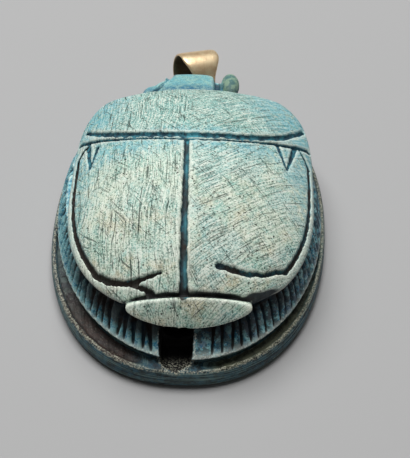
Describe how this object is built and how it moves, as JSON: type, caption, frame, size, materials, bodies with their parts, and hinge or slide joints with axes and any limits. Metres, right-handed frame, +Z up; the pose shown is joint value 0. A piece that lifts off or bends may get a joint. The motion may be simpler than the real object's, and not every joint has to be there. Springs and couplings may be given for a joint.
{
  "type": "scarab pendant",
  "caption": "Carved stone beetle on an oval plate, drilled from tail to head, with a folded gold strip bail in the head end of the hole.",
  "frame": {"origin": "centre of the plate's flat underside, on which the pendant lies", "axes": "+Y from tail to head, along the plate; +X to the right seen from the tail; +Z up, out of the underside through the back of the beetle"},
  "size_m": [0.028, 0.0441, 0.0128],
  "materials": {
    "glazed_stone": "soapstone dyed and glazed turquoise, rubbed back to a pale green on the high surfaces, dark blue and brown in the cuts",
    "gold_strip": "thin gold-coloured strip, polished and a little worn"
  },
  "bodies": {
    "root": {"scarab": "glazed_stone", "bail": "gold_strip"}
  },
  "joints": []
}
